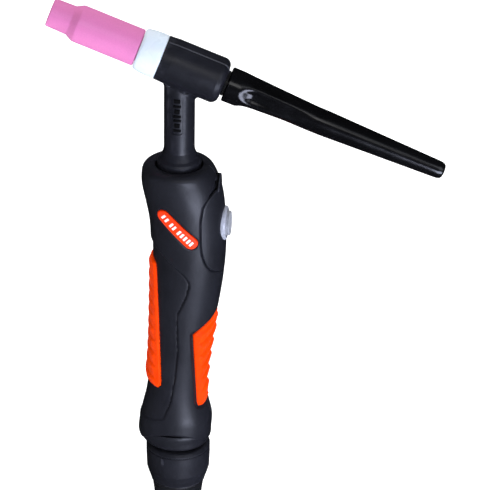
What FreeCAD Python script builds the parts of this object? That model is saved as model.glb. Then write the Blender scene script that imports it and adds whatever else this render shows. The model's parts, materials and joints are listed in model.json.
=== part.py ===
import FreeCAD, Part
import math
import os

from FreeCAD import Placement, Rotation, Vector

# Air-cooled TIG torch held upright, in millimetres. +Z runs up the handle's axis, -X is the side the
# nozzle points to, +X the side of the push button and the back cap. The origin is the middle of the grip.

# Torch head: an axis tilted from horizontal that crosses the neck's axis. Distances along it are
# counted from the crossing, positive towards the nozzle.
HEAD_Z = 134.5
HEAD_TILT_DEG = 20.0
NOZZLE_MOUTH = 67.3
NOZZLE_STEP_FRONT = 56.2
NOZZLE_STEP_BACK = 53.2
NOZZLE_BACK = 21.0
NOZZLE_MOUTH_R = 7.05
NOZZLE_BODY_R = 9.3
NOZZLE_BORE_R = 4.75
INSULATOR_BACK = 9.3
INSULATOR_FRONT_R = 10.2
INSULATOR_BACK_R = 11.2
HEAD_R = 11.5
HEAD_BACK = -23.3
CORE_R = 8.0
CORE_BACK = -21.5
CORE_FRONT = 14.0
COLLET_BODY_R = 4.9
COLLET_R = 2.45
ELECTRODE_R = 1.2
ELECTRODE_TIP = 64.5
ELECTRODE_LENGTH = 175.0
RUN_CLEARANCE = 0.05
CAP_RIM = -24.9
CAP_RIM_R = 8.75
CAP_BAND_BACK = -32.0
CAP_SHAFT_R = 6.7
CAP_END = -138.5
CAP_END_R = 4.3
CAP_SPIGOT_FRONT = -10.0
CAP_SPIGOT_R = 4.93
CAP_BORE_R = 1.9
ORING_WIRE_R = 0.6

# Neck, below the head on the handle's axis.
NECK_R = 7.6
NECK_FLARE_TOP = 89.5
NECK_FLARE_R = 11.0
NECK_FLARE_EDGE = 83.4
NECK_FOOT = 79.2
NECK_ROOT_R = 8.6
NECK_ROOT_BOTTOM = 62.0
NECK_GROOVE_R = 7.4
NECK_GROOVE = (66.2, 69.2)
RIB_REACH = 20.0
RIB_CLEARANCE = 0.1
NECK_TUBE_R = 3.2
NECK_TUBE_BORE_R = 2.2
NECK_TUBE_BOTTOM = 50.0
FILLET_UNDER_HEAD = 3.0
LABEL_HALF_WIDTH = 2.8
LABEL_Z = (99.9, 120.8)
LABEL_DEPTH = 0.45

# Handle: sections down its length as (height, reach to -X, reach to +X, half depth in Y).
HANDLE_SECTIONS = (
    (80.8, 15.4, 15.2, 14.8),
    (79.4, 17.4, 16.6, 16.4),
    (77.0, 18.4, 18.2, 17.0),
    (73.0, 18.6, 20.0, 17.2),
    (66.0, 17.6, 21.9, 17.2),
    (52.0, 14.8, 23.3, 16.8),
    (38.0, 14.0, 23.7, 16.4),
    (24.0, 13.9, 23.0, 16.1),
    (10.0, 14.0, 21.3, 15.8),
    (-5.0, 14.2, 18.9, 15.6),
    (-20.0, 14.6, 16.6, 15.4),
    (-35.0, 15.6, 14.8, 15.3),
    (-48.0, 17.2, 14.6, 15.5),
    (-58.0, 18.8, 16.2, 16.0),
    (-64.0, 19.7, 17.4, 16.4),
    (-69.0, 20.0, 17.0, 16.5),
)
SECTION_POINTS = 20
SECTION_POWER = 2.15
SHELL_WALL = 2.4
RIM_BORE_R = 11.8
PAD_PROUD = 1.1
PAD_SUNK = 1.0
COVER_WALL = 2.2
COVER_DEPTH = 10.8
DEEP = 40.0

# Outlines in the X-Z plane, cut straight through in Y.
FRONT_PAD_OUTLINE = (
    (-30.0, 34.0),
    (-13.6, 33.0),
    (-12.1, 30.8),
    (-10.9, 26.5),
    (-7.4, -36.5),
    (-8.2, -39.6),
    (-10.4, -41.2),
    (-30.0, -41.6),
)
REAR_PAD_OUTLINE = (
    (30.0, 3.4),
    (20.0, 0.6),
    (17.6, -2.2),
    (9.6, -8.4),
    (11.7, -51.6),
    (12.5, -54.4),
    (14.4, -55.2),
    (30.0, -54.0),
)
COVER_OUTLINE = (
    (30.0, 71.5),
    (19.8, 70.6),
    (16.6, 68.2),
    (14.3, 64.0),
    (13.2, 56.5),
    (13.2, 43.5),
    (14.0, 37.6),
    (16.5, 30.2),
    (19.6, 26.0),
    (30.0, 24.4),
)

# Push button on the cover: ovals as (half height in Z, half width in Y).
BUTTON_Z = 49.5
BUTTON_TRAVEL = 1.5
BEZEL_OVAL = (8.9, 7.4)
BEZEL_NECK_OVAL = (8.6, 6.6)
BEZEL_BACK = 18.6
BEZEL_STEP = 21.2
BEZEL_FACE = 24.3
BUTTON_OVAL = (6.5, 5.1)
BUTTON_FLANGE_OVAL = (8.0, 6.0)
BUTTON_CLEARANCE = 0.3
BUTTON_FACE = 26.0
FLANGE_THICKNESS = 1.4
POST_R = 1.5
SWITCH_FRONT = 12.0
SWITCH_BACK = 8.6
SWITCH_HALF = (6.2, 3.0)
BOARD_FRONT = 8.6
BOARD_BACK = 7.5
PLUNGER_R = 1.05
PLUNGER_REACH = 1.4

# Inside the handle.
ADAPTER_HEX_R = 6.9
ADAPTER_Z = (42.0, 56.0)
NIPPLE_R = 4.0
HOSE_R = 5.0
HOSE_TOP = 32.0
HOSE_BOTTOM = -61.0
FERRULE_R = 6.2
FERRULE_Z = (22.0, 41.0)
WIRE_R = 0.8
WIRE_X = 8.0
WIRE_Y = 1.7
SCREW_PLACES = ((12.5, 12.0), (-11.0, -55.0))
SCREW_R = 1.4
SCREW_HEAD_R = 2.7
SCREW_HEAD_Y = 11.4
SCREW_TIP_Y = -9.0
SCREW_HEAD_THICKNESS = 1.8
SCREW_DRIVE_R = 1.1
BOSS_R = 2.8

# Badge, a pill lying across the handle's side.
BADGE_CENTRE = (1.6, 52.0)
BADGE_ANGLE_DEG = -44.6
BADGE_LENGTH = 26.2
BADGE_WIDTH = 6.8
BADGE_SUNK = 0.8
BADGE_PROUD = 0.35

# Handle end ring and the ball joint in it.
RING_TOP = -69.3
RING_BOTTOM = -77.0
RING_BOTTOM_R = 15.9
BALL_Z = -73.5
BALL_R = 13.0
BALL_SEAT_R = 13.15
BALL_TOP = -65.5
BALL_NECK_R = 11.2
BALL_NECK_BOTTOM = -92.0
COLLAR_TOP = -79.8
COLLAR_R = 16.4
COLLAR_LINE = -82.2
MARK_SIZE = (1.5, 1.4, 3.6)
MARK_ANGLE_DEG = -20.5
COLLAR_SHOULDER = -94.3
COLLAR_BOTTOM = -101.0
BOOT_BOTTOM = -152.0
BOOT_END_R = 7.6

# Cable: power, gas and switch wires in one round sheath.
CABLE_R = 6.0
COIL_CENTRE = (60.0, 65.0)
COIL_RADII = (60.0, 72.0)
COIL_LEVELS = 4
FLOOR_Z = -336.0
COIL_TOP = FLOOR_Z + 2 * CABLE_R * COIL_LEVELS
CABLE_RUN = (
    (0.0, 0.0, -152.3),
    (0.0, 0.0, -241.3),
    (0.0, 19.3, -274.7),
    (0.0, 52.7, -294.0),
    (2.0, 91.0, -294.0),
)

# Connector on the far end: lies on the coil, pointing to -Y.
PLUG_X = 114.0
PLUG_R = 14.5
PLUG_Z = COIL_TOP + PLUG_R + 0.3
PLUG_SLEEVE_Y = 56.5
PLUG_SLEEVE_LENGTH = 26.0
PLUG_BODY_LENGTH = 40.0
PLUG_PIN_R = 6.5
PLUG_PIN_LENGTH = 26.0
PLUG_SHOULDER_R = 8.0
PLUG_SHOULDER_LENGTH = 7.5
CABLE_TAIL = (
    (-5.2, 98.0, -287.5),
    (10.4, 118.8, -283.5),
    (33.5, 131.6, -281.0),
    (59.7, 133.9, -279.6),
    (84.7, 125.3, -277.6),
    (103.9, 107.4, -275.2),
    (114.0, 83.1, -273.5),
    (PLUG_X, PLUG_SLEEVE_Y, PLUG_Z),
)
TIE_ANGLES_DEG = (235.0, 285.0)
TIE_THICKNESS = 1.2
TIE_WIDTH = 18.0

Z_UP = Vector(0, 0, 1)


def turned(profile, placement=None):
    """A solid of revolution about local Z from (radius, height) corners."""
    points = [Vector(radius, 0, height) for radius, height in profile]
    face = Part.Face(Part.makePolygon(points + points[:1]))
    solid = face.revolve(Vector(0, 0, 0), Z_UP, 360)
    if placement is not None:
        solid.Placement = placement
    return solid


def rod(radius, low, high, x=0.0, y=0.0):
    return Part.makeCylinder(radius, high - low, Vector(x, y, low))


def rod_along_x(radius, low, high, z):
    return Part.makeCylinder(radius, high - low, Vector(low, 0, z), Vector(1, 0, 0))


def rod_along_y(radius, low, high, x, z):
    return Part.makeCylinder(radius, high - low, Vector(x, low, z), Vector(0, 1, 0))


def one_solid(shape):
    """The largest solid of a boolean's result, with split faces joined again where that stays valid."""
    refined = shape.removeSplitter()
    if not refined.isValid():
        refined = shape
    return max(refined.Solids, key=lambda solid: solid.Volume)


def head_placement():
    tilt = math.radians(HEAD_TILT_DEG)
    axis = Vector(-math.cos(tilt), 0, math.sin(tilt))
    return Placement(Vector(0, 0, HEAD_Z), Rotation(Z_UP, axis))


HEAD = head_placement()


# ---- torch head -------------------------------------------------------------------------------

def nozzle():
    """Alumina gas nozzle: narrow nose, sloping step, wide body with a threaded back end."""
    profile = (
        (NOZZLE_BORE_R, NOZZLE_MOUTH - 0.5),
        (NOZZLE_BORE_R + 0.5, NOZZLE_MOUTH),
        (NOZZLE_MOUTH_R - 0.4, NOZZLE_MOUTH),
        (NOZZLE_MOUTH_R, NOZZLE_MOUTH - 0.5),
        (NOZZLE_MOUTH_R + 0.3, NOZZLE_STEP_FRONT),
        (NOZZLE_BODY_R - 0.3, NOZZLE_STEP_BACK),
        (NOZZLE_BODY_R, NOZZLE_STEP_BACK - 0.8),
        (NOZZLE_BODY_R, NOZZLE_BACK + 0.6),
        (NOZZLE_BODY_R - 0.6, NOZZLE_BACK),
        (6.6, NOZZLE_BACK),
        (6.6, 33.0),
        (5.8, 36.0),
        (NOZZLE_BORE_R, 50.0),
    )
    return turned(profile, HEAD)


def cup_insulator():
    """PTFE ring between the nozzle and the head."""
    profile = (
        (6.7, INSULATOR_BACK),
        (INSULATOR_BACK_R - 0.3, INSULATOR_BACK),
        (INSULATOR_BACK_R, INSULATOR_BACK + 0.7),
        (INSULATOR_BACK_R, INSULATOR_BACK + 4.5),
        (INSULATOR_BACK_R - 0.25, INSULATOR_BACK + 7.5),
        (INSULATOR_FRONT_R + 0.35, NOZZLE_BACK - 1.3),
        (INSULATOR_FRONT_R - 0.4, NOZZLE_BACK - 0.1),
        (6.7, NOZZLE_BACK - 0.1),
    )
    ring = turned(profile, HEAD)
    core = turned(((0, 0), (CORE_R, 0), (CORE_R, CORE_FRONT), (0, CORE_FRONT)), HEAD)
    return one_solid(ring.cut(core))


def neck_solid():
    profile = (
        (0, NECK_ROOT_BOTTOM),
        (NECK_ROOT_R, NECK_ROOT_BOTTOM),
        (NECK_ROOT_R, NECK_GROOVE[0]),
        (NECK_GROOVE_R, NECK_GROOVE[0]),
        (NECK_GROOVE_R, NECK_GROOVE[1]),
        (NECK_ROOT_R, NECK_GROOVE[1]),
        (NECK_ROOT_R, NECK_FOOT - 1.0),
        (NECK_FLARE_R - 0.8, NECK_FOOT),
        (NECK_FLARE_R - 0.15, NECK_FOOT + 0.7),
        (NECK_FLARE_R, NECK_FLARE_EDGE - 0.5),
        (NECK_FLARE_R - 0.5, NECK_FLARE_EDGE + 0.4),
        (NECK_FLARE_R - 1.7, NECK_FLARE_EDGE + 1.6),
        (NECK_R + 0.9, NECK_FLARE_TOP - 2.8),
        (NECK_R + 0.2, NECK_FLARE_TOP - 0.8),
        (NECK_R, NECK_FLARE_TOP + 1.0),
        (NECK_R, HEAD_Z),
        (0, HEAD_Z),
    )
    return turned(profile)


def barrel_solid():
    corner = 3.6
    steps = 5
    profile = [(0, INSULATOR_BACK), (INSULATOR_BACK_R, INSULATOR_BACK), (HEAD_R, INSULATOR_BACK - 5.0)]
    for step in range(steps + 1):
        angle = math.radians(90.0 * step / steps)
        profile.append((
            HEAD_R - corner + corner * math.cos(angle),
            HEAD_BACK + corner - corner * math.sin(angle),
        ))
    profile.append((0, HEAD_BACK))
    return turned(profile, HEAD)


def label_recess():
    height = LABEL_Z[1] - LABEL_Z[0]
    corner = Vector(-LABEL_HALF_WIDTH, -NECK_R - 2.0, LABEL_Z[0])
    block = Part.makeBox(2 * LABEL_HALF_WIDTH, 4.0, height, corner)
    upright = [edge for edge in block.Edges if abs(edge.tangentAt(edge.FirstParameter).y) > 0.9]
    block = block.makeFillet(1.4, upright)
    floor = rod(NECK_R - LABEL_DEPTH, LABEL_Z[0] - 1, LABEL_Z[1] + 1)
    return block.cut(floor)


def head_cover():
    """Moulded cover over the head and the neck, with a flared foot and a root held in the handle."""
    body = barrel_solid().fuse(neck_solid()).removeSplitter()
    joint = [
        edge for edge in body.Edges
        if edge.BoundBox.ZMax < HEAD_Z + 1 and edge.BoundBox.ZMin > HEAD_Z - 22
        and abs(edge.BoundBox.YMax - NECK_R) < 0.2
    ]
    if joint:
        body = body.makeFillet(FILLET_UNDER_HEAD, joint)
    bore = turned(
        ((0, INSULATOR_BACK + 1), (CORE_R, INSULATOR_BACK + 1), (CORE_R, CORE_BACK),
         (5.8, CORE_BACK), (5.8, HEAD_BACK - 1), (0, HEAD_BACK - 1)),
        HEAD,
    )
    body = body.cut(bore)
    body = body.cut(rod(NECK_TUBE_R, NECK_ROOT_BOTTOM - 1, HEAD_Z))
    body = body.cut(label_recess())
    return one_solid(body)


def head_core():
    """Brass body inside the head: threaded for the collet body in front and the back cap behind."""
    profile = (
        (COLLET_BODY_R, CORE_FRONT),
        (6.6, CORE_FRONT),
        (6.6, INSULATOR_BACK + 0.1),
        (CORE_R, INSULATOR_BACK + 0.1),
        (CORE_R, CORE_BACK),
        (CAP_SPIGOT_R + RUN_CLEARANCE, CORE_BACK),
        (CAP_SPIGOT_R + RUN_CLEARANCE, -6.0),
        (COLLET_BODY_R, -5.0),
    )
    return one_solid(turned(profile, HEAD))


def neck_tube():
    """Copper tube that carries current and gas up the neck."""
    tube = rod(NECK_TUBE_R, NECK_TUBE_BOTTOM, HEAD_Z)
    tube = tube.cut(rod(NECK_TUBE_BORE_R, NECK_TUBE_BOTTOM - 1, HEAD_Z + 1))
    core = rod(CORE_R, CORE_BACK - 2, CORE_FRONT)
    core.Placement = HEAD
    return one_solid(tube.cut(core))


def collet_body():
    """Copper collet body with a flange against the core, the nozzle's thread and a drilled nose."""
    bore = COLLET_R + 0.05
    profile = (
        (bore, -5.0),
        (COLLET_BODY_R, -5.0),
        (COLLET_BODY_R, CORE_FRONT),
        (6.5, CORE_FRONT),
        (6.5, 32.0),
        (4.4, 33.5),
        (4.4, 45.0),
        (2.6, 47.0),
        (1.5, 47.0),
        (1.5, 44.6),
        (bore, 42.6),
    )
    body = turned(profile, HEAD)
    for quarter in range(4):
        hole = Part.makeCylinder(0.8, 12.0, Vector(0, 0, 38.5), Vector(0, 1, 0))
        hole.rotate(Vector(0, 0, 0), Z_UP, 45 + 90 * quarter)
        body = body.cut(hole.transformGeometry(HEAD.toMatrix()))
    return one_solid(body)


def collet():
    """Split copper collet that grips the electrode inside the collet body."""
    bore = ELECTRODE_R + RUN_CLEARANCE
    profile = (
        (bore, CAP_SPIGOT_FRONT + 0.1),
        (COLLET_R, CAP_SPIGOT_FRONT + 0.1),
        (COLLET_R, 42.4),
        (1.7, 44.2),
        (bore, 44.2),
    )
    body = turned(profile)
    slot = Part.makeBox(0.5, 8.0, 24.0, Vector(-0.25, -4.0, 24.0))
    body = body.cut(slot)
    body.Placement = HEAD
    return one_solid(body)


def electrode():
    """Tungsten electrode with a ground point."""
    back = ELECTRODE_TIP - ELECTRODE_LENGTH
    profile = (
        (0, back),
        (ELECTRODE_R, back),
        (ELECTRODE_R, ELECTRODE_TIP - 6.0),
        (0.15, ELECTRODE_TIP),
        (0, ELECTRODE_TIP),
    )
    return turned(profile, HEAD)


def back_cap():
    """Long back cap: threaded spigot, rim band and a slim closed shaft over the electrode."""
    profile = (
        (CAP_BORE_R, CAP_SPIGOT_FRONT),
        (CAP_SPIGOT_R, CAP_SPIGOT_FRONT),
        (CAP_SPIGOT_R, CORE_BACK - 1.0),
        (5.25, CORE_BACK - 1.0),
        (5.25, CAP_RIM),
        (CAP_RIM_R - 0.5, CAP_RIM),
        (CAP_RIM_R, CAP_RIM - 0.5),
        (CAP_RIM_R - 0.1, CAP_BAND_BACK + 0.5),
        (CAP_RIM_R - 0.6, CAP_BAND_BACK),
        (CAP_SHAFT_R + 0.9, CAP_BAND_BACK - 3.0),
        (CAP_SHAFT_R, -52.0),
        (CAP_SHAFT_R - 0.3, -70.0),
        (CAP_END_R, CAP_END + 3.0),
        (CAP_END_R - 0.5, CAP_END + 1.0),
        (CAP_END_R - 1.6, CAP_END),
        (0, CAP_END),
        (0, CAP_END + 4.0),
        (CAP_BORE_R, CAP_END + 6.0),
    )
    return turned(profile, HEAD)


def back_cap_o_ring():
    centre = HEAD.multVec(Vector(0, 0, (HEAD_BACK + CAP_RIM) / 2))
    axis = HEAD.Rotation.multVec(Z_UP)
    return Part.makeTorus(5.25 + RUN_CLEARANCE + ORING_WIRE_R, ORING_WIRE_R, centre, axis)


# ---- handle -----------------------------------------------------------------------------------

def section_wire(section, grow):
    """One closed cross-section of the handle, a rounded oval, grown outwards or inwards."""
    height, reach_left, reach_right, half_depth = section
    left = reach_left + grow
    right = reach_right + grow
    centre = (right - left) / 2
    half_width = (right + left) / 2
    points = []
    for step in range(SECTION_POINTS):
        angle = 2 * math.pi * step / SECTION_POINTS
        cosine = math.cos(angle)
        sine = math.sin(angle)
        x = centre + half_width * math.copysign(abs(cosine) ** (2 / SECTION_POWER), cosine)
        y = (half_depth + grow) * math.copysign(abs(sine) ** (2 / SECTION_POWER), sine)
        points.append(Vector(x, y, height))
    curve = Part.BSplineCurve()
    curve.interpolate(points, PeriodicFlag=True)
    return Part.Wire(curve.toShape())


def handle_form(grow, sections=HANDLE_SECTIONS):
    """The handle's outer form, grown by a distance."""
    return Part.makeLoft([section_wire(section, grow) for section in sections], True)


def prism(outline):
    """An X-Z outline pushed through the handle in Y."""
    points = [Vector(x, -DEEP, z) for x, z in outline]
    return Part.Face(Part.makePolygon(points + points[:1])).extrude(Vector(0, 2 * DEEP, 0))


def badge_prism(side):
    """A pill-shaped block that stands through the handle's wall on one side, -1 or 1."""
    straight = (BADGE_LENGTH - BADGE_WIDTH) / 2
    radius = BADGE_WIDTH / 2
    block = Part.makeBox(2 * straight, 12.0, BADGE_WIDTH, Vector(-straight, 10.0, -radius))
    for end in (-straight, straight):
        block = block.fuse(Part.makeCylinder(radius, 12.0, Vector(end, 10.0, 0), Vector(0, 1, 0)))
    block = block.removeSplitter()
    if side < 0:
        block = block.mirror(Vector(0, 0, 0), Vector(0, 1, 0))
    block.rotate(Vector(0, 0, 0), Vector(0, 1, 0), -BADGE_ANGLE_DEG)
    block.translate(Vector(BADGE_CENTRE[0], 0, BADGE_CENTRE[1]))
    return block


def oval_block(oval, low, high):
    """An oval post along X on the button's axis."""
    ellipse = Part.Ellipse(Vector(0, 0, 0), *oval)
    face = Part.Face(Part.Wire(ellipse.toShape()))
    block = face.extrude(Vector(0, 0, high - low))
    turn = Rotation(Vector(0, 0, 1), Vector(0, 1, 0), Vector(1, 0, 0), "ZXY")
    block.Placement = Placement(Vector(low, 0, BUTTON_Z), turn)
    return block


def bezel_outside():
    neck = oval_block(BEZEL_NECK_OVAL, BEZEL_BACK, BEZEL_STEP)
    return oval_block(BEZEL_OVAL, BEZEL_STEP, BEZEL_FACE).fuse(neck)


def button_bezel():
    """Fixed oval frame round the push button."""
    hole = tuple(half + BUTTON_CLEARANCE for half in BUTTON_OVAL)
    return one_solid(bezel_outside().cut(oval_block(hole, BEZEL_BACK - 1, BEZEL_FACE + 1)))


def button():
    """Oval push button with a flange behind the bezel and a post towards the switch."""
    flange_front = BEZEL_BACK - BUTTON_CLEARANCE
    flange_back = flange_front - FLANGE_THICKNESS
    cap = oval_block(BUTTON_OVAL, flange_front, BUTTON_FACE)
    rim = [edge for edge in cap.Edges if edge.BoundBox.XMin > BUTTON_FACE - 0.01]
    cap = cap.makeFillet(0.9, rim)
    body = cap.fuse(oval_block(BUTTON_FLANGE_OVAL, flange_back, flange_front))
    post_tip = SWITCH_FRONT + PLUNGER_REACH + 0.2
    return one_solid(body.fuse(rod_along_x(POST_R, post_tip, flange_back, BUTTON_Z)))


def button_spring():
    """Return spring round the button's post."""
    wire_r = 0.3
    low = SWITCH_FRONT + wire_r + 0.1
    high = BEZEL_BACK - BUTTON_CLEARANCE - FLANGE_THICKNESS - wire_r - 0.15
    helix = Part.makeHelix(1.15, high - low, 2.4)
    section = Part.Wire(Part.makeCircle(wire_r, Vector(2.4, 0, 0), Vector(0, 1, 0)))
    spring = Part.Wire(helix.Edges).makePipeShell([section], True, True)
    spring.Placement = Placement(Vector(low, 0, BUTTON_Z), Rotation(Z_UP, Vector(1, 0, 0)))
    return spring


def switch_body():
    """Small snap switch behind the button."""
    half_z, half_y = SWITCH_HALF
    depth = SWITCH_FRONT - SWITCH_BACK
    body = Part.makeBox(depth, 2 * half_y, 2 * half_z, Vector(SWITCH_BACK, -half_y, BUTTON_Z - half_z))
    body = body.makeFillet(0.4, body.Edges)
    return one_solid(body.cut(rod_along_x(PLUNGER_R + 0.05, SWITCH_FRONT - 2.6, SWITCH_FRONT + 1, BUTTON_Z)))


def switch_plunger():
    return rod_along_x(PLUNGER_R, SWITCH_FRONT - 0.9, SWITCH_FRONT + PLUNGER_REACH, BUTTON_Z)


def switch_board():
    """Board that carries the switch."""
    board = Part.makeBox(BOARD_FRONT - BOARD_BACK, 15.0, 24.0, Vector(BOARD_BACK, -7.5, BUTTON_Z - 12.0))
    upright = [edge for edge in board.Edges if abs(edge.tangentAt(edge.FirstParameter).x) > 0.9]
    return board.makeFillet(1.5, upright)


def switch_terminals():
    """Three solder tails beside the switch, on the board's face."""
    tails = []
    for side in (-1, 0, 1):
        place = Vector(BOARD_FRONT, 2.0 * side - 0.5, BUTTON_Z - SWITCH_HALF[0] - 2.6)
        tails.append(Part.makeBox(0.5, 1.0, 2.6, place))
    return Part.makeCompound(tails)


def switch_wires():
    """Two wires from the board down the handle into the cable."""
    wires = [rod(WIRE_R, HOSE_BOTTOM, BUTTON_Z - 12.4, WIRE_X + 0.2, side * WIRE_Y) for side in (-1, 1)]
    return Part.makeCompound(wires)


def pad(outline):
    """Soft grip insert that stands slightly proud of the handle."""
    block = handle_form(PAD_PROUD).common(prism(outline))
    return one_solid(block.cut(handle_form(-PAD_SUNK)))


def switch_cover(outer):
    """Cover over the switch, flush with the handle."""
    block = outer.common(prism(COVER_OUTLINE)).cut(handle_form(-COVER_WALL))
    return block.cut(bezel_outside()).Solids[0]


def badge(side):
    """Plain pill-shaped plate let into the handle's side."""
    block = handle_form(BADGE_PROUD).common(badge_prism(side))
    return one_solid(block.cut(handle_form(-BADGE_SUNK)))


def neck_rib():
    """Rib inside the handle that engages the groove in the neck's root."""
    rib = rod(RIB_REACH, NECK_GROOVE[0] + RIB_CLEARANCE, NECK_GROOVE[1] - RIB_CLEARANCE)
    rib = rib.common(handle_form(-SHELL_WALL / 2)).cut(prism(COVER_OUTLINE))
    return rib.cut(rod(NECK_GROOVE_R + RUN_CLEARANCE, NECK_ROOT_BOTTOM, NECK_FOOT))


def handle_halves(outer):
    """Both halves of the hollow handle, with the neck's rib, screw bosses and pockets for the inserts."""
    shell = outer
    pad_floor = handle_form(-PAD_SUNK)
    badge_floor = handle_form(-BADGE_SUNK)
    for outline in (FRONT_PAD_OUTLINE, REAR_PAD_OUTLINE):
        shell = shell.cut(prism(outline).cut(pad_floor))
    for side in (-1, 1):
        shell = shell.cut(badge_prism(side).cut(badge_floor))
    shell = shell.cut(handle_form(-SHELL_WALL, HANDLE_SECTIONS[2:]))
    shell = shell.cut(prism(COVER_OUTLINE).cut(handle_form(-COVER_DEPTH)))
    shell = shell.cut(rod(RIM_BORE_R, NECK_ROOT_BOTTOM, NECK_FLARE_EDGE))
    shell = shell.fuse(neck_rib())
    for x, z in SCREW_PLACES:
        boss = rod_along_y(BOSS_R, -DEEP, DEEP, x, z)
        shell = shell.fuse(boss.common(handle_form(-SHELL_WALL / 2)))
    for x, z in SCREW_PLACES:
        shell = shell.cut(rod_along_y(SCREW_R, SCREW_TIP_Y, DEEP, x, z))
        shell = shell.cut(rod_along_y(SCREW_HEAD_R, SCREW_HEAD_Y, DEEP, x, z))
    near = shell.common(Part.makeBox(2 * DEEP, DEEP, 8 * DEEP, Vector(-DEEP, -DEEP, -4 * DEEP)))
    far = shell.common(Part.makeBox(2 * DEEP, DEEP, 8 * DEEP, Vector(-DEEP, 0, -4 * DEEP)))
    return one_solid(near), one_solid(far)


def handle_screws():
    screws = []
    for x, z in SCREW_PLACES:
        shank = rod_along_y(SCREW_R, SCREW_TIP_Y, SCREW_HEAD_Y, x, z)
        head = rod_along_y(SCREW_HEAD_R, SCREW_HEAD_Y, SCREW_HEAD_Y + SCREW_HEAD_THICKNESS, x, z)
        drive = rod_along_y(SCREW_DRIVE_R, SCREW_HEAD_Y + 0.8, SCREW_HEAD_Y + 2.0, x, z)
        screws.append(one_solid(shank.fuse(head).cut(drive)))
    return Part.makeCompound(screws)


# ---- current and gas parts inside the handle ----------------------------------------------------

def power_adapter():
    """Brass adapter: hexagon round the neck tube, hose nipple below."""
    low, high = ADAPTER_Z
    corners = []
    for step in range(7):
        angle = math.radians(60 * step)
        corners.append(Vector(ADAPTER_HEX_R * math.cos(angle), ADAPTER_HEX_R * math.sin(angle), low))
    body = Part.Face(Part.makePolygon(corners)).extrude(Vector(0, 0, high - low))
    body = body.fuse(rod(NIPPLE_R, HOSE_TOP - 8.0, low))
    body = body.cut(rod(NECK_TUBE_R, NECK_TUBE_BOTTOM, high + 1))
    return one_solid(body.cut(rod(NECK_TUBE_BORE_R, HOSE_TOP - 9.0, NECK_TUBE_BOTTOM)))


def hose():
    """Power and gas hose inside the handle, pushed over the nipple."""
    body = rod(HOSE_R, HOSE_BOTTOM, HOSE_TOP + 8.0)
    body = body.cut(rod(NIPPLE_R, HOSE_TOP - 8.0, HOSE_TOP + 9.0))
    return one_solid(body.cut(rod(NECK_TUBE_BORE_R, HOSE_BOTTOM - 1, HOSE_TOP)))


def hose_ferrule():
    low, high = FERRULE_Z
    profile = (
        (HOSE_R, low),
        (FERRULE_R - 0.5, low),
        (FERRULE_R, low + 0.5),
        (FERRULE_R, low + 6.0),
        (FERRULE_R - 0.5, low + 7.5),
        (FERRULE_R - 0.5, high - 7.5),
        (FERRULE_R, high - 6.0),
        (FERRULE_R, high - 0.5),
        (FERRULE_R - 0.5, high),
        (HOSE_R, high),
    )
    return turned(profile)


# ---- ball joint and boot -------------------------------------------------------------------------

def end_ring():
    """Ring that closes the handle's end and seats the ball."""
    top = HANDLE_SECTIONS[-1][1:]
    round_end = (RING_BOTTOM, RING_BOTTOM_R + 0.5, RING_BOTTOM_R - 0.5, RING_BOTTOM_R)
    outline = (
        (RING_TOP, top[0] - 0.3, top[1] - 0.3, top[2] - 0.3),
        (RING_TOP - 1.0, top[0], top[1], top[2]),
        (-73.4, 19.6, 16.4, 16.4),
        (-76.0, 18.0, 15.9, 16.2),
        round_end,
    )
    body = handle_form(0.0, outline)
    body = body.cut(Part.makeSphere(BALL_SEAT_R, Vector(0, 0, BALL_Z)))
    return one_solid(body.cut(rod(12.35, RING_TOP - 1.0, RING_TOP + 5)))


def swivel_ball():
    """Hollow ball with a neck that carries the collar and the boot."""
    ball = Part.makeSphere(BALL_R, Vector(0, 0, BALL_Z))
    ball = ball.common(rod(20.0, COLLAR_TOP + 1.0, BALL_TOP))
    ball = ball.fuse(rod(BALL_NECK_R, BALL_NECK_BOTTOM, COLLAR_TOP + 1.5))
    bore = turned((
        (0, BALL_NECK_BOTTOM - 1),
        (CABLE_R + 0.6, BALL_NECK_BOTTOM - 1),
        (CABLE_R + 0.6, BALL_Z),
        (9.0, BALL_TOP + 1),
        (0, BALL_TOP + 1),
    ))
    return one_solid(ball.cut(bore))


def swivel_collar():
    """Collar under the ball, with a line round it and a small raised mark."""
    profile = (
        (BALL_NECK_R, COLLAR_TOP),
        (14.8, COLLAR_TOP),
        (15.4, COLLAR_TOP - 0.3),
        (COLLAR_R, COLLAR_TOP - 1.4),
        (COLLAR_R, COLLAR_LINE + 0.3),
        (COLLAR_R - 0.4, COLLAR_LINE),
        (COLLAR_R, COLLAR_LINE - 0.4),
        (COLLAR_R, COLLAR_LINE - 4.0),
        (COLLAR_R - 0.3, COLLAR_SHOULDER),
        (15.4, COLLAR_SHOULDER - 2.6),
        (14.3, COLLAR_BOTTOM + 0.8),
        (14.0, COLLAR_BOTTOM),
        (BALL_NECK_R, COLLAR_BOTTOM),
    )
    collar = turned(profile)
    width, depth, height = MARK_SIZE
    mark = Part.makeBox(width, depth, height, Vector(-width / 2, -COLLAR_R - 0.5, COLLAR_LINE - 0.4 - height))
    mark.rotate(Vector(0, 0, 0), Z_UP, MARK_ANGLE_DEG)
    return one_solid(collar.fuse(mark))


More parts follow.
